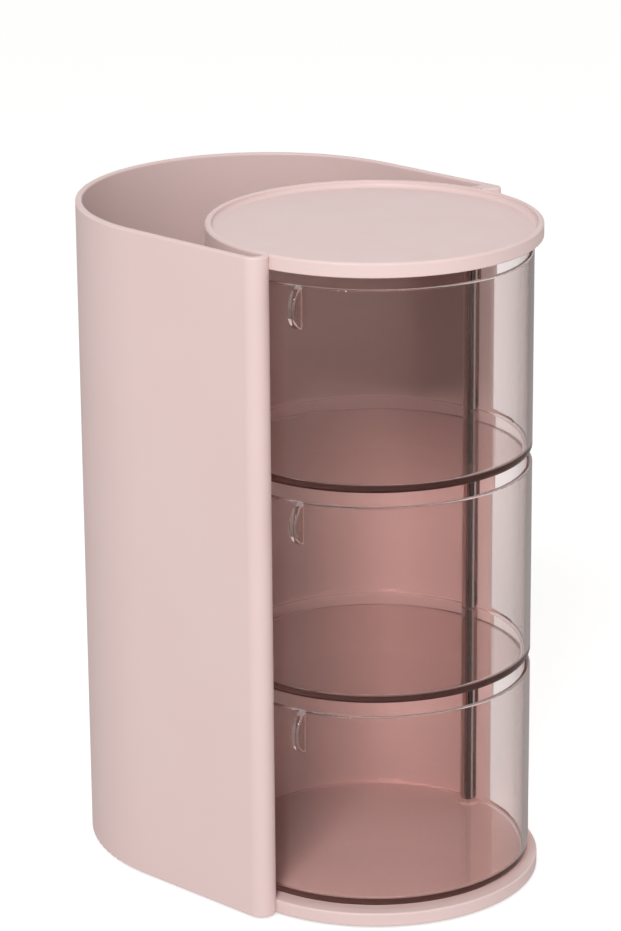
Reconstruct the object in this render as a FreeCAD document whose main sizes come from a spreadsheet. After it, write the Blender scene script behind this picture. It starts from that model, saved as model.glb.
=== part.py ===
import FreeCAD, Part
import math
import os
import re

import Sketcher
from FreeCAD import Rotation, Vector

# Rotating makeup organizer: a pink moulded body with an open brush well at the back,
# and at the front a round column of three clear drawers that swing out about one axle.
# Every sub-part is drawn with the drum axis (the centre line of the round column) as its
# own Z axis, and its Placement moves it so that the whole object stands on the origin.
# X points to the hinge side, Y to the back and Z up.

os.makedirs("parts", exist_ok=True)
doc = FreeCAD.newDocument("RotatingOrganizer")

# ---------------------------------------------------------------- driving sizes, mm and degrees
SIZES = [
    ("foot_stand", 0.8, "how far the rubber feet lift the base plate"),
    ("body_height", 180.4, "underside of the base plate to the rim of the brush well"),
    ("side_slot", 4.0, "narrowest part of the well, between the drum and the body's side"),
    ("well_depth", 44.3, "widest part of the well, behind the drum"),
    ("wall_thickness", 1.8, "outer wall and drum partition"),
    ("left_reach", 4.8, "left wall's end, in front of the drum axis"),
    ("right_reach", 1.6, "right wall's end, in front of the drum axis"),
    ("tip_radius", 1.9, "rounded end of the right wall"),
    ("heel_radius", 1.5, "corner between that end's flank and the partition"),
    ("heel_y", 2.9, "centre of that corner, behind the drum axis"),
    ("well_reach", -4.35, "right end of the well, in front of the drum axis"),
    ("rim_round", 0.6, "well rim"),
    ("lower_round", 0.5, "lower edge of the body and the edges of the base disc"),
    ("floor_height", 13.2, "underside of the base plate to the top of the well's floor"),
    ("floor_thickness", 2.0, "well floor"),
    ("drum_radius", 44.0, "top plate, base disc and the well side of the partition"),
    ("plate_gap", 0.1, "gap round the top plate and round the base plate"),
    ("top_thickness", 4.0, "top plate at its rim"),
    ("top_recess", 1.8, "depth of the top plate's flat centre"),
    ("top_rim_width", 1.7, "raised rim of the top plate"),
    ("top_rim_round", 0.7, "outer edge of that rim"),
    ("top_lip_round", 0.4, "inner edge of that rim and the plate's lower edge"),
    ("top_cove_round", 1.3, "hollow corner round the flat centre"),
    ("base_thickness", 3.8, "base plate"),
    ("drawer_gap", 0.6, "gap between a drawer and the partition"),
    ("drawer_wall", 1.4, "drawer wall"),
    ("drawer_floor", 1.4, "drawer floor"),
    ("tier_gap", 3.7, "rim of a drawer to the underside of the next one"),
    ("drawer_rim_round", 0.45, "rim of a drawer"),
    ("drawer_foot_round", 1.0, "lower edge of a drawer"),
    ("drawer_cove_round", 1.2, "hollow corner round a drawer's floor"),
    ("axle_radius", 0.75, "steel axle"),
    ("axle_fit", 0.05, "radial clearance of a barrel on the axle"),
    ("axle_chamfer", 0.2, "ends of the axle"),
    ("axle_end_gap", 0.1, "gap at each end of the axle"),
    ("low_socket", 2.6, "depth of the axle's socket in the base plate's boss"),
    ("high_socket", 1.4, "depth of the axle's socket in the top plate"),
    ("barrel_radius", 2.3, "hinge barrel"),
    ("barrel_gap", 0.25, "gap between stacked barrels"),
    ("pivot_boss_radius", 3.0, "boss under the lowest barrel"),
    ("pivot_boss_height", 0.8, "boss under the lowest barrel"),
    ("pull_angle", 195.0, "direction of the finger pull, counted from the hinge side"),
    ("pull_height", 11.4, "finger pull along the drawer's wall"),
    ("pull_reach", 4.5, "finger pull outwards"),
    ("pull_thickness", 2.2, "finger pull"),
    ("pull_root", 0.5, "how deep the finger pull runs into the wall"),
    ("pull_round", 0.6, "edges of the finger pull"),
    ("screw_radius", 1.25, "screw core"),
    ("screw_length", 9.0, "screw below its head"),
    ("screw_point", 1.2, "cone at the screw's end"),
    ("screw_fit", 0.05, "gap round the core in its boss"),
    ("screw_passage", 0.35, "gap round the core and the head in the base plate"),
    ("head_radius", 2.7, "screw head"),
    ("head_height", 1.6, "screw head"),
    ("head_sink", 2.0, "depth of the head's recess"),
    ("slot_length", 3.2, "cross recess of the head, arm to arm"),
    ("slot_width", 0.7, "cross recess of the head"),
    ("slot_depth", 0.9, "cross recess of the head"),
    ("screw_boss_radius", 3.4, "screw boss under the well's floor"),
    ("foot_radius", 5.0, "rubber foot"),
    ("foot_recess", 1.2, "how deep a foot sits in the base plate"),
    ("foot_gap", 0.15, "gap round a foot in its recess"),
    ("foot_chamfer", 0.4, "lower edge of a foot"),
    ("fastener_inset", 12.3, "circle of the screws and the rear feet, inside the body's outline"),
    ("rear_foot_turn", 30.0, "rear feet on that circle, from its sideways line"),
    ("rear_screw_turn", 60.0, "rear pair of screws on that circle"),
    ("front_foot_inset", 8.6, "circle of the front feet, inside the base disc"),
    ("front_foot_turn", 47.0, "front feet on that circle"),
]

# Sizes that follow from the driving ones.
DERIVED = [
    ("half_width", "drum_radius + side_slot + wall_thickness", "half of the body's width"),
    ("rear_centre", "well_depth - side_slot", "drum axis to the centre of the half-round back"),
    ("drum_y", "(drum_radius - rear_centre - half_width) / 2", "drum axis in the object's frame"),
    ("chamber_radius", "drum_radius - wall_thickness", "inside of the partition"),
    ("seat_radius", "drum_radius + plate_gap", "round seats of the two plates in the body"),
    ("heel_x", "sqrt((chamber_radius + heel_radius) ^ 2 - heel_y ^ 2)", "centre of that corner, sideways"),
    ("plate_top", "foot_stand + base_thickness", "top of the base plate"),
    ("rim_top", "foot_stand + body_height", "rim of the well, top of the top plate"),
    ("top_under", "rim_top - top_thickness", "underside of the top plate"),
    ("floor_under", "foot_stand + floor_height - floor_thickness", "underside of the well's floor"),
    ("tongue_inset", "wall_thickness + plate_gap", "base plate's rear part, inside the body's outline"),
    ("recess_radius", "drum_radius - top_rim_width", "flat centre of the top plate"),
    ("drawer_radius", "chamber_radius - drawer_gap", "outside of a drawer"),
    ("cup_radius", "drawer_radius - drawer_wall", "inside of a drawer"),
    ("axle_x", "drawer_radius - barrel_radius", "axle, from the drum axis"),
    ("bore_radius", "axle_radius + axle_fit", "bore of a barrel"),
    ("boss_top", "plate_top + pivot_boss_height", "where the lowest barrel turns"),
    ("stack_start", "boss_top + barrel_gap", "underside of the lowest drawer"),
    ("tier_pitch", "(top_under - stack_start) / 3", "one drawer to the next"),
    ("barrel_height", "tier_pitch - barrel_gap", "hinge barrel"),
    ("drawer_height", "tier_pitch - tier_gap", "drawer without its barrel"),
    ("axle_start", "boss_top - low_socket + axle_end_gap", "lower end of the axle"),
    ("axle_length", "top_under + high_socket - axle_end_gap - axle_start", "axle"),
    ("screw_seat", "foot_stand + head_sink", "where a screw's head bears"),
    ("fastener_circle", "half_width - fastener_inset", "round the centre of the half-round back"),
    ("rear_screw_x", "fastener_circle * cos(rear_screw_turn)", "rear screws, sideways"),
    ("rear_screw_y", "rear_centre + fastener_circle * sin(rear_screw_turn)", "rear screws, backwards"),
    ("rear_foot_x", "fastener_circle * cos(rear_foot_turn)", "rear feet, sideways"),
    ("rear_foot_y", "rear_centre + fastener_circle * sin(rear_foot_turn)", "rear feet, backwards"),
    ("front_foot_x", "(drum_radius - front_foot_inset) * cos(front_foot_turn)", "front feet, sideways"),
    ("front_foot_y", "-(drum_radius - front_foot_inset) * sin(front_foot_turn)", "front feet, backwards"),
]

# The left wall's rounded end touches the body's side and the partition's chamber side.
# The well's right end touches the other face of both.
for end, side, column in (
    ("left", "half_width", "chamber_radius"),
    ("well", "(half_width - wall_thickness)", "drum_radius"),
):
    total = "(%s + %s_reach + %s)" % (side, end, column)
    rest = "(%s ^ 2 + %s_reach ^ 2 - %s ^ 2)" % (side, end, column)
    radius = "%s - sqrt(%s ^ 2 - %s)" % (total, total, rest)
    DERIVED.append((end + "_end_radius", radius, "rounded end"))
    DERIVED.append((end + "_end_y", "%s_end_radius - %s_reach" % (end, end), "centre of that end"))
DERIVED.append(("well_end_x", "half_width - wall_thickness - well_end_radius", "centre of that end"))

sheet = doc.addObject("Spreadsheet::Sheet", "Sizes")
rows = [(alias, str(number), meaning) for alias, number, meaning in SIZES]
rows += [(alias, "=" + formula, meaning) for alias, formula, meaning in DERIVED]
for row, (alias, content, meaning) in enumerate(rows, start=1):
    sheet.set("A%d" % row, alias)
    sheet.set("B%d" % row, content)
    sheet.set("C%d" % row, meaning)
    sheet.setAlias("B%d" % row, alias)
doc.recompute()
aliases = {alias for alias, content, meaning in rows}

# Places in plan, from the drum axis.
SCREW_PLACES = [
    ("fastener_circle", "rear_centre"),
    ("-fastener_circle", "rear_centre"),
    ("rear_screw_x", "rear_screw_y"),
    ("-rear_screw_x", "rear_screw_y"),
]
FEET = [
    ("foot_front_right", ("front_foot_x", "front_foot_y")),
    ("foot_front_left", ("-front_foot_x", "front_foot_y")),
    ("foot_rear_right", ("rear_foot_x", "rear_foot_y")),
    ("foot_rear_left", ("-rear_foot_x", "rear_foot_y")),
]


# ---------------------------------------------------------------- modelling helpers
def value(formula):
    """The number a formula of sheet words stands for."""
    return float(sheet.evalExpression(formula))


def linked(formula):
    """The formula with its words read from the sheet."""
    return re.sub(r"[a-z_]+", lambda word: link_word(word.group()), formula)


def link_word(word):
    return "Sizes." + word if word in aliases else word


def bind(thing, prop, formula):
    thing.setExpression(prop, linked(formula))


def new_body(label, height=None):
    body = doc.addObject("PartDesign::Body", label)
    body.Label = label
    bind(body, "Placement.Base.y", "drum_y")
    if height:
        bind(body, "Placement.Base.z", height)
    return body


def new_sketch(body, name, height=None, role="XY_Plane"):
    """A sketch on an origin plane of the body, raised by a formula."""
    plane = [feature for feature in body.Origin.OriginFeatures if feature.Role == role][0]
    sketch = body.newObject("Sketcher::SketchObject", body.Label + "_" + name)
    sketch.AttachmentSupport = [(plane, "")]
    sketch.MapMode = "FlatFace"
    if height:
        bind(sketch, "AttachmentOffset.Base.z", height)
    return sketch


def add_size(sketch, formula, kind, *where):
    """A dimension of the sketch, kept by the sheet."""
    index = sketch.addConstraint(Sketcher.Constraint(kind, *where, value(formula)))
    sketch.setExpression("Constraints[%d]" % index, linked(formula))


def hold_point(sketch, geometry, point, formula, kind):
    """Holds one coordinate of a point; a zero is held on the sketch's axis itself."""
    if formula == "0":
        axis = {"DistanceX": -2, "DistanceY": -1}[kind]
        sketch.addConstraint(Sketcher.Constraint("PointOnObject", geometry, point, axis))
    else:
        add_size(sketch, formula, kind, -1, 1, geometry, point)


def pin_point(sketch, geometry, point, x, y):
    hold_point(sketch, geometry, point, x, "DistanceX")
    hold_point(sketch, geometry, point, y, "DistanceY")


def add_circle(sketch, radius, x="0", y="0"):
    centre = Vector(value(x), value(y), 0)
    circle = sketch.addGeometry(Part.Circle(centre, Vector(0, 0, 1), value(radius)), False)
    add_size(sketch, radius, "Radius", circle)
    pin_point(sketch, circle, 3, x, y)


def circle_sketch(body, name, height, radius, x="0", y="0"):
    sketch = new_sketch(body, name, height)
    add_circle(sketch, radius, x, y)
    return sketch


def add_pad(body, sketch, length, kind="One side"):
    pad = body.newObject("PartDesign::Pad", sketch.Label + "_pad")
    pad.Profile = sketch
    pad.SideType = kind
    bind(pad, "Length", length)
    doc.recompute()
    return pad


def add_pocket(body, sketch, length):
    """Cuts upwards from its sketch."""
    before = body.Shape.Volume
    pocket = body.newObject("PartDesign::Pocket", sketch.Label + "_pocket")
    pocket.Profile = sketch
    pocket.Reversed = True
    bind(pocket, "Length", length)
    doc.recompute()
    if body.Shape.Volume >= before:
        raise ValueError(pocket.Label + " cuts nothing")
    return pocket


def add_dressing(body, kind, name, radius, test):
    """A Fillet or Chamfer on the edges of the body's tip that pass the test."""
    base = body.Tip
    edges = ["Edge%d" % place for place, edge in enumerate(base.Shape.Edges, start=1) if test(edge)]
    if not edges:
        raise ValueError(body.Label + " has no edge for " + name)
    dressing = body.newObject("PartDesign::" + kind, body.Label + "_" + name)
    dressing.Base = (base, edges)
    bind(dressing, "Radius" if kind == "Fillet" else "Size", radius)
    doc.recompute()
    return dressing


def level(height):
    """A test for edges that lie wholly at one height."""
    z = value(height)
    return lambda edge: max(abs(edge.BoundBox.ZMin - z), abs(edge.BoundBox.ZMax - z)) < 1e-4


def one_of(edges):
    return lambda edge: any(edge.isSame(other) for other in edges)


def either(*tests):
    return lambda edge: any(test(edge) for test in tests)


def add_line(sketch, start, end):
    return sketch.addGeometry(Part.LineSegment(start, end), False)


def add_arc(sketch, centre, radius, start, end):
    circle = Part.Circle(centre, Vector(0, 0, 1), radius)
    return sketch.addGeometry(Part.ArcOfCircle(circle, start, end), False)


def add_corner(sketch, point, before, after, rounding):
    """The arc of a rounded corner, with its end towards each neighbour."""
    radius = value(rounding)
    before = (before - point).normalize()
    after = (after - point).normalize()
    towards_before = math.atan2(-after.y, -after.x)
    towards_after = math.atan2(-before.y, -before.x)
    centre = point + (before + after) * radius
    if before.cross(after).z < 0:
        arc = add_arc(sketch, centre, radius, towards_before, towards_after)
        joins = (1, 2)
    else:
        arc = add_arc(sketch, centre, radius, towards_after, towards_before)
        joins = (2, 1)
    add_size(sketch, rounding, "Radius", arc)
    return arc, joins, point + before * radius, point + after * radius


def add_profile(sketch, corners):
    """A closed outline of level and upright lines.

    Each corner is its x, its y and its rounding, which is None where it is sharp.
    """
    count = len(corners)
    points = [Vector(value(x), value(y), 0) for x, y, rounding in corners]
    starts = list(points)
    ends = list(points)
    bends = {}
    for place, (x, y, rounding) in enumerate(corners):
        if rounding:
            before = points[place - 1]
            after = points[(place + 1) % count]
            corner = add_corner(sketch, points[place], before, after, rounding)
            arc, joins, ends[place], starts[place] = corner
            bends[place] = (arc, joins)

    lines = []
    for place, (x, y, rounding) in enumerate(corners):
        following = (place + 1) % count
        line = add_line(sketch, starts[place], ends[following])
        if y == corners[following][1]:
            sketch.addConstraint(Sketcher.Constraint("Horizontal", line))
            hold_point(sketch, line, 1, y, "DistanceY")
        else:
            sketch.addConstraint(Sketcher.Constraint("Vertical", line))
            hold_point(sketch, line, 1, x, "DistanceX")
        lines.append(line)
    for place, line in enumerate(lines):
        if place in bends:
            arc, (end_before, end_after) = bends[place]
            sketch.addConstraint(Sketcher.Constraint("Tangent", lines[place - 1], 2, arc, end_before))
            sketch.addConstraint(Sketcher.Constraint("Tangent", arc, end_after, line, 1))
        else:
            sketch.addConstraint(Sketcher.Constraint("Coincident", lines[place - 1], 2, line, 1))


def add_turned(body, name, corners):
    """A solid turned about the drum axis from an outline drawn in the XZ plane."""
    sketch = new_sketch(body, name, role="XZ_Plane")
    add_profile(sketch, corners)
    turned = body.newObject("PartDesign::Revolution", sketch.Label + "_turned")
    turned.Profile = sketch
    turned.ReferenceAxis = (sketch, ["V_Axis"])
    turned.Angle = 360
    doc.recompute()


# ---------------------------------------------------------------- body shell
def point_at(turn, angle):
    centre, radius = turn
    return centre + Vector(math.cos(angle), math.sin(angle), 0) * radius


def touching_angle(turn, following):
    """The direction, from both centres, to the line that touches two turns from the front."""
    way = following[0] - turn[0]
    lean = math.acos((turn[1] - following[1]) / way.Length)
    return (math.atan2(way.y, way.x) - lean) % (2 * math.pi)


def add_wall_loop(sketch, inset, right_turns):
    """The body's outline, moved inwards by the inset.

    Two straight sides and a half-round back; at the front each side turns into the
    partition, which follows the round column. The right side does so over one rounding
    or two, listed from the partition outwards, each with its centre and its radius.
    """
    side = value("half_width - (%s)" % inset)
    back = value("rear_centre")
    column = value("chamber_radius + (%s)" % inset)
    left_radius = value("left_end_radius")
    left = Vector(left_radius - value("half_width"), value("left_end_y"), 0)
    left_tilt = math.atan2(left.y, left.x) % (2 * math.pi)
    turns = [(Vector(value(x), value(y), 0), value(radius)) for x, y, radius in right_turns]
    right_tilt = math.atan2(turns[0][0].y, turns[0][0].x)
    angles = [touching_angle(*pair) for pair in zip(turns, turns[1:])]
    angles = [math.pi + right_tilt] + angles + [2 * math.pi]

    right_side = add_line(sketch, Vector(side, turns[-1][0].y, 0), Vector(side, back, 0))
    rear = add_arc(sketch, Vector(0, back, 0), side, 0, math.pi)
    left_side = add_line(sketch, Vector(-side, back, 0), Vector(-side, left.y, 0))
    left_turn = add_arc(sketch, left, left_radius - value(inset), math.pi, math.pi + left_tilt)
    partition = add_arc(sketch, Vector(0, 0, 0), column, right_tilt, left_tilt)
    arcs = [add_arc(sketch, *turn, *bend) for turn, bend in zip(turns, zip(angles, angles[1:]))]

    joins = [
        (right_side, 2, rear, 1),
        (rear, 2, left_side, 1),
        (left_side, 2, left_turn, 1),
        (left_turn, 2, partition, 2),
        (partition, 1, arcs[0], 1),
        (arcs[-1], 2, right_side, 1),
    ]
    for place in range(1, len(arcs)):
        angle = angles[place]
        flank = add_line(sketch, point_at(turns[place - 1], angle), point_at(turns[place], angle))
        joins.append((arcs[place - 1], 2, flank, 1))
        joins.append((flank, 2, arcs[place], 1))
    for join in joins:
        sketch.addConstraint(Sketcher.Constraint("Tangent", *join))
    for line in (right_side, left_side):
        sketch.addConstraint(Sketcher.Constraint("Vertical", line))
    add_size(sketch, "half_width - (%s)" % inset, "Radius", rear)
    pin_point(sketch, rear, 3, "0", "rear_centre")
    add_size(sketch, "chamber_radius + (%s)" % inset, "Radius", partition)
    pin_point(sketch, partition, 3, "0", "0")
    add_size(sketch, "left_end_y", "DistanceY", -1, 1, left_turn, 3)
    for arc, (x, y, radius) in zip(arcs, right_turns):
        add_size(sketch, y, "DistanceY", -1, 1, arc, 3)
        if len(arcs) > 1:
            add_size(sketch, radius, "Radius", arc)


def add_well_loop(sketch, inset):
    turn = ("well_end_x", "well_end_y", "well_end_radius + wall_thickness - (%s)" % inset)
    add_wall_loop(sketch, inset, [turn])


shell = new_body("body_shell")
wall = new_sketch(shell, "wall", "foot_stand")
add_wall_loop(wall, "0", [
    ("heel_x", "heel_y", "heel_radius"),
    ("half_width - tip_radius", "tip_radius - right_reach", "tip_radius"),
])
add_well_loop(wall, "wall_thickness")
add_pad(shell, wall, "body_height")
lowest = min(shell.Tip.Shape.Faces, key=lambda face: face.BoundBox.ZMax)
add_dressing(shell, "Fillet", "lower_edge", "lower_round", one_of(lowest.OuterWire.Edges))
add_dressing(shell, "Fillet", "rim", "rim_round", level("rim_top"))

well_floor = new_sketch(shell, "floor", "floor_under")
add_well_loop(well_floor, "wall_thickness / 2")
add_pad(shell, well_floor, "floor_thickness")

bosses = new_sketch(shell, "bosses", "plate_top")
for x, y in SCREW_PLACES:
    add_circle(bosses, "screw_boss_radius", x, y)
    add_circle(bosses, "screw_radius + screw_fit", x, y)
add_pad(shell, bosses, "floor_under - plate_top")

# The partition stands on the base plate and carries the top plate.
add_pocket(shell, circle_sketch(shell, "base_seat", "foot_stand", "seat_radius"), "base_thickness")
add_pocket(shell, circle_sketch(shell, "top_seat", "top_under", "seat_radius"), "top_thickness")

# ---------------------------------------------------------------- top plate
top = new_body("top_plate")
add_turned(top, "disc", [
    ("0", "top_under", None),
    ("drum_radius", "top_under", "top_lip_round"),
    ("drum_radius", "rim_top", "top_rim_round"),
    ("recess_radius", "rim_top", "top_lip_round"),
    ("recess_radius", "rim_top - top_recess", "top_cove_round"),
    ("0", "rim_top - top_recess", None),
])
add_pocket(top, circle_sketch(top, "socket", "top_under", "bore_radius", "axle_x"), "high_socket")

# ---------------------------------------------------------------- base plate
base = new_body("base_plate")
add_turned(base, "disc", [
    ("0", "foot_stand", None),
    ("drum_radius", "foot_stand", "lower_round"),
    ("drum_radius", "plate_top", "lower_round"),
    ("0", "plate_top", None),
])

# The tongue closes the body below; its front edge lies within the disc.
tongue = new_sketch(base, "tongue", "foot_stand")
side = value("half_width - tongue_inset")
back = value("rear_centre")
right_front = Vector(side, value("well_end_y"), 0)
left_front = Vector(-side, value("left_end_y"), 0)
rear = add_arc(tongue, Vector(0, back, 0), side, 0, math.pi)
right_line = add_line(tongue, right_front, Vector(side, back, 0))
left_line = add_line(tongue, Vector(-side, back, 0), left_front)
front_line = add_line(tongue, left_front, right_front)
for join in ((right_line, 2, rear, 1), (rear, 2, left_line, 1)):
    tongue.addConstraint(Sketcher.Constraint("Tangent", *join))
for join in ((left_line, 2, front_line, 1), (front_line, 2, right_line, 1)):
    tongue.addConstraint(Sketcher.Constraint("Coincident", *join))
for line in (right_line, left_line):
    tongue.addConstraint(Sketcher.Constraint("Vertical", line))
add_size(tongue, "half_width - tongue_inset", "Radius", rear)
pin_point(tongue, rear, 3, "0", "rear_centre")
add_size(tongue, "left_end_y", "DistanceY", -1, 1, front_line, 1)
add_size(tongue, "well_end_y", "DistanceY", -1, 1, front_line, 2)
add_pad(base, tongue, "base_thickness")

boss = circle_sketch(base, "boss", "plate_top", "pivot_boss_radius", "axle_x")
add_pad(base, boss, "pivot_boss_height")
socket = circle_sketch(base, "socket", "boss_top - low_socket", "bore_radius", "axle_x")
add_pocket(base, socket, "low_socket")

for name, depth, radius, places in (
    ("screw_heads", "head_sink", "head_radius + screw_passage", SCREW_PLACES),
    ("screw_cores", "base_thickness", "screw_radius + screw_passage", SCREW_PLACES),
    ("foot_seats", "foot_recess", "foot_radius + foot_gap", [place for node, place in FEET]),
):
    sketch = new_sketch(base, name, "foot_stand")
    for x, y in places:
        add_circle(sketch, radius, x, y)
    add_pocket(base, sketch, depth)

# ---------------------------------------------------------------- hinge axle
axle = new_body("hinge_axle")
add_pad(axle, circle_sketch(axle, "rod", "axle_start", "axle_radius", "axle_x"), "axle_length")
axle_ends = either(level("axle_start"), level("axle_start + axle_length"))
add_dressing(axle, "Chamfer", "ends", "axle_chamfer", axle_ends)


# ---------------------------------------------------------------- drawers
def add_pull(body):
    """The half-moon finger pull, drawn in the upright plane that holds its direction."""
    sketch = new_sketch(body, "pull", role="XZ_Plane")
    sketch.AttachmentOffset.Rotation = Rotation(Vector(0, 1, 0), value("pull_angle"))
    sketch.setExpression("AttachmentOffset.Rotation.Angle", linked("pull_angle"))
    root = value("drawer_radius - pull_root")
    high = value("drawer_height")
    low = high - value("pull_height")
    tip = value("drawer_radius + pull_reach")
    bow = Part.Arc(Vector(root, low, 0), Vector(tip, (low + high) / 2, 0), Vector(root, high, 0))
    arc = sketch.addGeometry(bow, False)
    line = add_line(sketch, Vector(root, high, 0), Vector(root, low, 0))
    sketch.addConstraint(Sketcher.Constraint("Coincident", arc, 2, line, 1))
    sketch.addConstraint(Sketcher.Constraint("Coincident", line, 2, arc, 1))
    sketch.addConstraint(Sketcher.Constraint("Vertical", line))
    add_size(sketch, "drawer_radius - pull_root", "DistanceX", -1, 1, line, 1)
    add_size(sketch, "drawer_height", "DistanceY", -1, 1, line, 1)
    add_size(sketch, "pull_height", "DistanceY", line, 2, line, 1)
    reach = "(pull_reach + pull_root)"
    add_size(sketch, "(pull_height ^ 2 / 4 + %s ^ 2) / 2 / %s" % (reach, reach), "Radius", arc)
    add_pad(body, sketch, "pull_thickness", "Symmetric")
    bows = [edge for edge in body.Tip.Shape.Edges if isinstance(edge.Curve, Part.Circle)]
    add_dressing(body, "Fillet", "pull_edges", "pull_round", one_of(bows))


def add_drawer(label, tier):
    body = new_body(label, "stack_start + %d * tier_pitch" % tier)
    add_pull(body)
    add_turned(body, "cup", [
        ("0", "0", None),
        ("drawer_radius", "0", "drawer_foot_round"),
        ("drawer_radius", "drawer_height", "drawer_rim_round"),
        ("cup_radius", "drawer_height", "drawer_rim_round"),
        ("cup_radius", "drawer_floor", "drawer_cove_round"),
        ("0", "drawer_floor", None),
    ])
    add_pad(body, circle_sketch(body, "barrel", None, "barrel_radius", "axle_x"), "barrel_height")
    add_pocket(body, circle_sketch(body, "bore", None, "bore_radius", "axle_x"), "barrel_height")


for tier, label in enumerate(("drawer_bottom", "drawer_middle", "drawer_top")):
    add_drawer(label, tier)


# ---------------------------------------------------------------- screws and feet
def add_primitive(kind, name, x, y, z, **sizes):
    thing = doc.addObject("Part::" + kind, name)
    for prop, formula in sizes.items():
        bind(thing, prop, formula)
    for axis, formula in (("x", x), ("y", y), ("z", z)):
        bind(thing, "Placement.Base." + axis, formula)
    return thing


def join_objects(kind, name, things):
    joined = doc.addObject("Part::" + kind, name)
    joined.Shapes = things
    return joined


def add_screw(number, x, y):
    """Pan head below, core and point above, and a cross recess in the head."""
    name = "screw_%d" % number
    head_start = "screw_seat - head_height"
    head = add_primitive(
        "Cylinder", name + "_head", x, y, head_start, Radius="head_radius", Height="head_height"
    )
    core = add_primitive(
        "Cylinder", name + "_core", x, y, "screw_seat",
        Radius="screw_radius", Height="screw_length - screw_point",
    )
    point = add_primitive(
        "Cone", name + "_point", x, y, "screw_seat + screw_length - screw_point",
        Radius1="screw_radius", Radius2="screw_radius / 4", Height="screw_point",
    )
    whole = join_objects("MultiFuse", name + "_whole", [head, core, point])
    arms = []
    for arm, (length, width) in enumerate((("slot_length", "slot_width"), ("slot_width", "slot_length"))):
        arms.append(add_primitive(
            "Box", name + "_arm_%d" % arm, x + " - %s / 2" % length, y + " - %s / 2" % width, head_start,
            Length=length, Width=width, Height="slot_depth",
        ))
    recess = join_objects("MultiFuse", name + "_recess", arms)
    screw = doc.addObject("Part::Cut", name)
    screw.Base = whole
    screw.Tool = recess
    return screw


screws = doc.addObject("Part::Compound", "base_screws")
screws.Label = "base_screws"
screws.Links = [add_screw(number, x, y) for number, (x, y) in enumerate(SCREW_PLACES, start=1)]
bind(screws, "Placement.Base.y", "drum_y")

feet = []
for node, (x, y) in FEET:
    foot = new_body(node)
    add_pad(foot, circle_sketch(foot, "pad", None, "foot_radius", x, y), "foot_stand + foot_recess")
    add_dressing(foot, "Chamfer", "edge", "foot_chamfer", level("0"))
    feet.append(foot)

# ---------------------------------------------------------------- checks and export
doc.recompute()
for thing in doc.Objects:
    if {"Invalid", "Error"} & set(thing.State):
        raise ValueError("%s: %s" % (thing.Label, thing.State))

drawers = [doc.getObject(name) for name in ("drawer_top", "drawer_middle", "drawer_bottom")]
for node in [shell, top, base, axle, screws] + drawers + feet:
    if node.Shape.isNull() or not node.Shape.isValid():
        raise ValueError(node.Label + " has no valid shape")
    node.Shape.exportStep("parts/%s.step" % node.Label)
    box = node.Shape.BoundBox
    extents = (box.XMin, box.XMax, box.YMin, box.YMax, box.ZMin, box.ZMax)
    print(node.Label, len(node.Shape.Solids), " ".join("%.2f" % extent for extent in extents))
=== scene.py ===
import math

import bpy
from mathutils import Matrix, Vector

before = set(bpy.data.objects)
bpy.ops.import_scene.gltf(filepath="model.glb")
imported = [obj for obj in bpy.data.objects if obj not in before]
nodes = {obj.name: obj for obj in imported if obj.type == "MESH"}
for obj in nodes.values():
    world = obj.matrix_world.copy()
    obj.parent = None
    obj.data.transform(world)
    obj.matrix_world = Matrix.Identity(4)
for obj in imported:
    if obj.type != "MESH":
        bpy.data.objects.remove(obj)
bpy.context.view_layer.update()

scene = bpy.context.scene
print("frame loaded")

# Camera: a long lens, above the front on the side away from the hinge.
drumAxis = Vector((0.0, -0.02305, 0.0008))


# Right, up and back directions of a camera that looks along the azimuth.
def lookAlong(azimuth, elevation):
    a = math.radians(azimuth)
    e = math.radians(elevation)
    back = Vector((math.sin(a) * math.cos(e), -math.cos(a) * math.cos(e), math.sin(e)))
    right = Vector((math.cos(a), math.sin(a), 0.0))
    return right, back.cross(right), back


def makeCamera(spec):
    right, up, back = lookAlong(spec["azimuth"], spec["elevation"])
    roll = math.radians(spec["roll"])
    rolledRight = right * math.cos(roll) + up * math.sin(roll)
    rolledUp = up * math.cos(roll) - right * math.sin(roll)
    data = bpy.data.cameras.new("camera")
    data.sensor_width = spec["sensorMm"]
    data.lens = spec["focalPixels"] * spec["sensorMm"] / spec["framePixels"]
    data.clip_start, data.clip_end = spec["clip"]
    camera = bpy.data.objects.new("camera", data)
    place = drumAxis + right * spec["across"] + Vector((0, 0, spec["rise"]))
    place += back * spec["distance"]
    turn = Matrix((rolledRight, rolledUp, back)).transposed().to_4x4()
    camera.matrix_world = Matrix.Translation(place) @ turn
    scene.collection.objects.link(camera)
    scene.camera = camera


makeCamera({
    "azimuth": -46.593,
    "elevation": 18.091,
    "roll": -0.45,
    "distance": 0.97682,
    "across": -0.017031,
    "rise": 0.113453,
    "focalPixels": 3690.2,
    "framePixels": 931,
    "sensorMm": 36.0,
    "clip": (0.05, 20.0),
})
print("camera")


# Materials.
mmPerMetre = 1000
white = "ffffff"

# Light Path counts mirrorings and scatterings in whole numbers, and this tells none from one.
underOne = 0.5


# An sRGB hex colour as linear values, with an alpha of one.
def linearColour(code):
    parts = [int(code[i:i + 2], 16) / 255 for i in (0, 2, 4)]
    return [p / 12.92 if p <= 0.04045 else ((p + 0.055) / 1.055) ** 2.4 for p in parts] + [1.0]


def newMaterial(name):
    material = bpy.data.materials.new(name)
    material.use_nodes = True
    return material, material.node_tree, material.node_tree.nodes["Principled BSDF"]


# A node with its settings and its inputs, each a value or another node's output.
def addNode(tree, kind, inputs=None, **settings):
    node = tree.nodes.new(kind)
    for key, setting in settings.items():
        setattr(node, key, setting)
    for key, source in (inputs or {}).items():
        if isinstance(source, bpy.types.NodeSocket):
            tree.links.new(source, node.inputs[key])
        else:
            node.inputs[key].default_value = source
    return node


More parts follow.
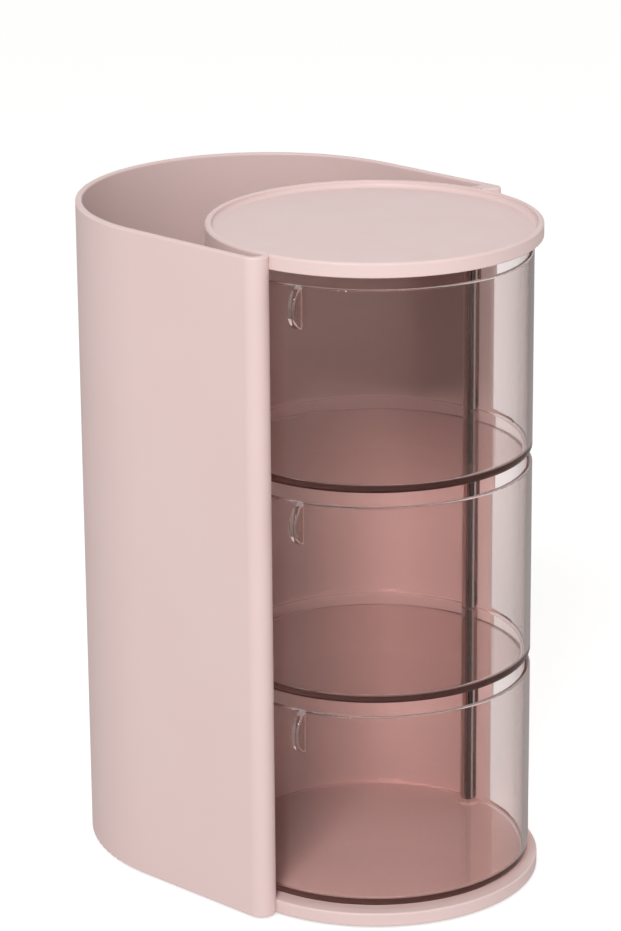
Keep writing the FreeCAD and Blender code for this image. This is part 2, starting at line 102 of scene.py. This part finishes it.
# Noise whose coarsest lumps are about so many millimetres across, and longer along an axis
# whose squeeze is under one.
def addNoise(tree, place, sizeMm, detail=2.0, squeeze=(1.0, 1.0, 1.0)):
    squeezed = addNode(tree, "ShaderNodeMapping", {"Vector": place, "Scale": squeeze})
    noise = addNode(tree, "ShaderNodeTexNoise", {
        "Vector": squeezed.outputs["Vector"],
        "Scale": mmPerMetre / sizeMm,
        "Detail": detail,
    })
    return noise.outputs["Fac"]


# Roughness that runs between two values as a pattern runs over its span.
def varyRoughness(tree, shader, pattern, span, least, most):
    rough = addNode(tree, "ShaderNodeMapRange", {
        "Value": pattern,
        "From Min": span[0],
        "From Max": span[1],
        "To Min": least,
        "To Max": most,
    })
    tree.links.new(rough.outputs["Result"], shader.inputs["Roughness"])


# Bumps laid one over the other; each has its height and its depth in millimetres.
def addBumps(tree, shader, layers):
    normal = None
    for height, depthMm in layers:
        inputs = {"Height": height, "Strength": 1.0, "Distance": depthMm / mmPerMetre}
        if normal:
            inputs["Normal"] = normal
        normal = addNode(tree, "ShaderNodeBump", inputs).outputs["Normal"]
    tree.links.new(normal, shader.inputs["Normal"])


# Moulded plastic or rubber: spark-eroded grain, slow sink waves, places rubbed smoother and
# a slight drift of colour.
def makeSatinPlastic(spec):
    material, tree, shader = newMaterial(spec["name"])
    place = addNode(tree, "ShaderNodeTexCoord").outputs["Object"]
    tint = addNode(tree, "ShaderNodeMix", {
        "Factor": addNoise(tree, place, spec["driftMm"]),
        "A": linearColour(spec["colours"][0]),
        "B": linearColour(spec["colours"][1]),
    }, data_type="RGBA")
    tree.links.new(tint.outputs["Result"], shader.inputs["Base Color"])
    grain = addNoise(tree, place, spec["grainMm"], detail=3.0)
    waves = addNoise(tree, place, spec["waveMm"], detail=0.0)
    addBumps(tree, shader, [(waves, spec["waveDepthMm"]), (grain, spec["grainDepthMm"])])
    rubbed = addNoise(tree, place, spec["rubMm"], detail=4.0)
    smoothest = spec["roughness"] - spec["roughSpread"]
    roughest = spec["roughness"] + spec["roughSpread"]
    varyRoughness(tree, shader, rubbed, (0.3, 0.7), smoothest, roughest)
    shader.inputs["IOR"].default_value = spec["ior"]
    return material


# Polished clear acrylic. Its smoky tint lies in the mass, so cut edges and long paths are
# darker than a wall seen straight on. Lamps reach what is inside it, and light that has been
# mirrored once goes straight on, so that none is caught for good in a wall or a rim.
def makeClearPlastic(spec):
    material, tree, shader = newMaterial(spec["name"])
    place = addNode(tree, "ShaderNodeTexCoord").outputs["Object"]
    waves = addNoise(tree, place, spec["waveMm"], 1.0, spec["waveSqueeze"])
    addBumps(tree, shader, [(waves, spec["waveDepthMm"])])
    scuffs = addNoise(tree, place, spec["scuffMm"], 5.0, spec["scuffSqueeze"])
    roughest = spec["roughness"] + spec["roughSpread"]
    varyRoughness(tree, shader, scuffs, (0.45, 0.75), spec["roughness"], roughest)
    shader.inputs["Base Color"].default_value = linearColour(spec["colour"])
    shader.inputs["Transmission Weight"].default_value = 1.0
    shader.inputs["Specular Tint"].default_value = linearColour(spec["sheenColour"])
    shader.inputs["IOR"].default_value = spec["ior"]
    mass = addNode(tree, "ShaderNodeVolumeAbsorption", {
        "Color": linearColour(spec["massColour"]),
        "Density": spec["densityPerM"],
    })
    path = addNode(tree, "ShaderNodeLightPath")
    mirrored = addNode(tree, "ShaderNodeMath", {
        0: path.outputs["Glossy Depth"],
        1: underOne,
    }, operation="GREATER_THAN")
    unbent = addNode(tree, "ShaderNodeMath", {
        0: path.outputs["Is Shadow Ray"],
        1: mirrored.outputs[0],
    }, operation="MAXIMUM")
    final = addNode(tree, "ShaderNodeMixShader", {
        0: unbent.outputs[0],
        1: shader.outputs[0],
        2: addNode(tree, "ShaderNodeBsdfTransparent").outputs[0],
    })
    output = tree.nodes["Material Output"]
    tree.links.new(final.outputs[0], output.inputs["Surface"])
    tree.links.new(mass.outputs["Volume"], output.inputs["Volume"])
    return material


# Steel: fine lines along the upright axis, or an even grain where the squeeze is all ones.
def makeSteel(spec):
    material, tree, shader = newMaterial(spec["name"])
    place = addNode(tree, "ShaderNodeTexCoord").outputs["Object"]
    lines = addNoise(tree, place, spec["lineMm"], 3.0, spec["lineSqueeze"])
    addBumps(tree, shader, [(lines, spec["lineDepthMm"])])
    smoothest = spec["roughness"] - spec["roughSpread"]
    roughest = spec["roughness"] + spec["roughSpread"]
    varyRoughness(tree, shader, lines, (0.2, 0.8), smoothest, roughest)
    shader.inputs["Base Color"].default_value = linearColour(spec["colour"])
    shader.inputs["Metallic"].default_value = 1.0
    return material


# Injection-moulded ABS: an even satin with broad, soft highlights.
bodyPlastic = makeSatinPlastic({
    "name": "moulded blush-pink ABS",
    "colours": ("e3cbc8", "dfc5c1"),
    "roughness": 0.48,
    "roughSpread": 0.05,
    "ior": 1.54,
    "driftMm": 40,
    "rubMm": 9,
    "grainMm": 0.35,  # coarser than a mould's own grain, so that it shows
    "grainDepthMm": 0.003,
    "waveMm": 30,
    "waveDepthMm": 0.04,
})
# Moulded and polished acrylic: sharp glints, faint waves in them, and fine scuffs.
clearPlastic = makeClearPlastic({
    "name": "smoky clear acrylic",
    "colour": white,
    "massColour": "d4aea6",
    "sheenColour": "ffeae2",
    "densityPerM": 205,
    "roughness": 0.02,
    "roughSpread": 0.05,
    "ior": 1.49,
    "waveMm": 14,
    "waveDepthMm": 0.02,
    "waveSqueeze": (1.0, 1.0, 0.4),
    "scuffMm": 1.5,
    "scuffSqueeze": (1.0, 1.0, 4.0),
})

# Drawn rod, blackened: a dull dark gleam in streaks.
axleSteel = makeSteel({
    "name": "blackened steel rod",
    "colour": "55524f",
    "roughness": 0.28,
    "roughSpread": 0.1,
    "lineMm": 0.15,
    "lineDepthMm": 0.005,
    "lineSqueeze": (1.0, 1.0, 0.02),
})

# Zinc plating: pale and a little cloudy.
screwSteel = makeSteel({
    "name": "zinc-plated screw steel",
    "colour": "c4c1ba",
    "roughness": 0.35,
    "roughSpread": 0.1,
    "lineMm": 0.4,
    "lineDepthMm": 0.005,
    "lineSqueeze": (1.0, 1.0, 1.0),
})

# Moulded rubber: dull, without a clear highlight.
footRubber = makeSatinPlastic({
    "name": "soft blush rubber",
    "colours": ("d9c7c2", "d3bfba"),
    "roughness": 0.7,
    "roughSpread": 0.05,
    "ior": 1.52,
    "driftMm": 8,
    "rubMm": 3,
    "grainMm": 0.5,
    "grainDepthMm": 0.01,
    "waveMm": 5,
    "waveDepthMm": 0.02,
})

finishes = {
    "body_shell": bodyPlastic,
    "top_plate": bodyPlastic,
    "base_plate": bodyPlastic,
    "hinge_axle": axleSteel,
    "base_screws": screwSteel,
    "drawer_top": clearPlastic,
    "drawer_middle": clearPlastic,
    "drawer_bottom": clearPlastic,
    "foot_front_left": footRubber,
    "foot_front_right": footRubber,
    "foot_rear_left": footRubber,
    "foot_rear_right": footRubber,
}
for name, material in finishes.items():
    mesh = nodes[name].data
    mesh.materials.clear()
    mesh.materials.append(material)
print("materials")


# One for the rays that show the surroundings, straight, mirrored or through the drawers,
# and nought for the light that a matt surface gathers.
def addSeen(tree):
    path = addNode(tree, "ShaderNodeLightPath")
    straight = addNode(tree, "ShaderNodeMath", {
        0: path.outputs["Is Camera Ray"],
        1: path.outputs["Is Transmission Ray"],
    }, operation="MAXIMUM")
    seen = addNode(tree, "ShaderNodeMath", {
        0: straight.outputs[0],
        1: path.outputs["Is Glossy Ray"],
    }, operation="MAXIMUM")
    ungathered = addNode(tree, "ShaderNodeMath", {
        0: path.outputs["Diffuse Depth"],
        1: underOne,
    }, operation="LESS_THAN")
    return addNode(tree, "ShaderNodeMath", {
        0: seen.outputs[0],
        1: ungathered.outputs[0],
    }, operation="MULTIPLY").outputs[0]


# A pale floor. What is seen of it is half its own shading over an even light of its own,
# so that it is white away from the soft shadow; mirrored, it is without that light. The
# light it gives to matt surfaces is that of plain paint.
def makeFloor(spec):
    mesh = bpy.data.meshes.new("floor")
    reach = spec["reach"]
    corners = [(-reach, -reach, 0), (reach, -reach, 0), (reach, reach, 0), (-reach, reach, 0)]
    mesh.from_pydata(corners, [], [(0, 1, 2, 3)])
    floor = bpy.data.objects.new("floor", mesh)
    scene.collection.objects.link(floor)
    material, tree, paint = newMaterial("pale floor")
    paint.inputs["Base Color"].default_value = linearColour(spec["colour"])
    paint.inputs["Roughness"].default_value = spec["roughness"]
    paint.inputs["Specular IOR Level"].default_value = 0.0
    shadow = addNode(tree, "ShaderNodeBsdfDiffuse", {"Color": linearColour(spec["shadowColour"])})
    unmirrored = addNode(tree, "ShaderNodeMath", {
        0: addNode(tree, "ShaderNodeLightPath").outputs["Glossy Depth"],
        1: underOne,
    }, operation="LESS_THAN")
    light = addNode(tree, "ShaderNodeMath", {
        0: unmirrored.outputs[0],
        1: spec["evenLight"],
    }, operation="MULTIPLY")
    even = addNode(tree, "ShaderNodeEmission", {
        "Color": linearColour(white),
        "Strength": light.outputs[0],
    })
    shown = addNode(tree, "ShaderNodeAddShader", {0: shadow.outputs[0], 1: even.outputs[0]})
    final = addNode(tree, "ShaderNodeMixShader", {
        0: addSeen(tree),
        1: paint.outputs[0],
        2: shown.outputs[0],
    })
    tree.links.new(final.outputs[0], tree.nodes["Material Output"].inputs["Surface"])
    mesh.materials.append(material)


def makeLamp(spec):
    data = bpy.data.lights.new(spec["name"], "AREA")
    data.shape = "RECTANGLE"
    data.size, data.size_y = spec["size"]
    data.energy = spec["power"]
    data.color = linearColour(spec["colour"])[:3]
    lamp = bpy.data.objects.new(spec["name"], data)
    lamp.location = spec["place"]
    towards = Vector(spec["target"]) - Vector(spec["place"])
    lamp.rotation_euler = towards.to_track_quat("-Z", "Y").to_euler()
    scene.collection.objects.link(lamp)


# Soft light all round, with a plain white backdrop where the surroundings are seen.
def makeWorld(softLight):
    world = bpy.data.worlds.new("studio")
    world.use_nodes = True
    tree = world.node_tree
    soft = tree.nodes["Background"]
    soft.inputs["Color"].default_value = linearColour(white)
    soft.inputs["Strength"].default_value = softLight
    backdrop = addNode(tree, "ShaderNodeBackground", {
        "Color": linearColour(white),
        "Strength": 1.0,
    })
    both = addNode(tree, "ShaderNodeMixShader", {
        0: addSeen(tree),
        1: soft.outputs[0],
        2: backdrop.outputs[0],
    })
    tree.links.new(both.outputs[0], tree.nodes["World Output"].inputs["Surface"])
    scene.world = world


makeFloor({
    "reach": 3.0,
    "colour": "f4f2f1",
    "roughness": 0.8,
    "shadowColour": "bcbab9",
    "evenLight": 0.71,
})
makeWorld(softLight=0.5)
makeLamp({
    "name": "key",
    "place": (-0.86, -0.51, 0.97),
    "target": (0, 0, 0.1),
    "size": (0.35, 0.35),
    "power": 9.0,
    "colour": white,
})
makeLamp({
    "name": "fill",
    "place": (0.1, -1.3, 0.4),
    "target": (0, 0, 0.1),
    "size": (1.0, 1.0),
    "power": 2.4,
    "colour": white,
})
scene.view_settings.view_transform = "Standard"
print("studio")
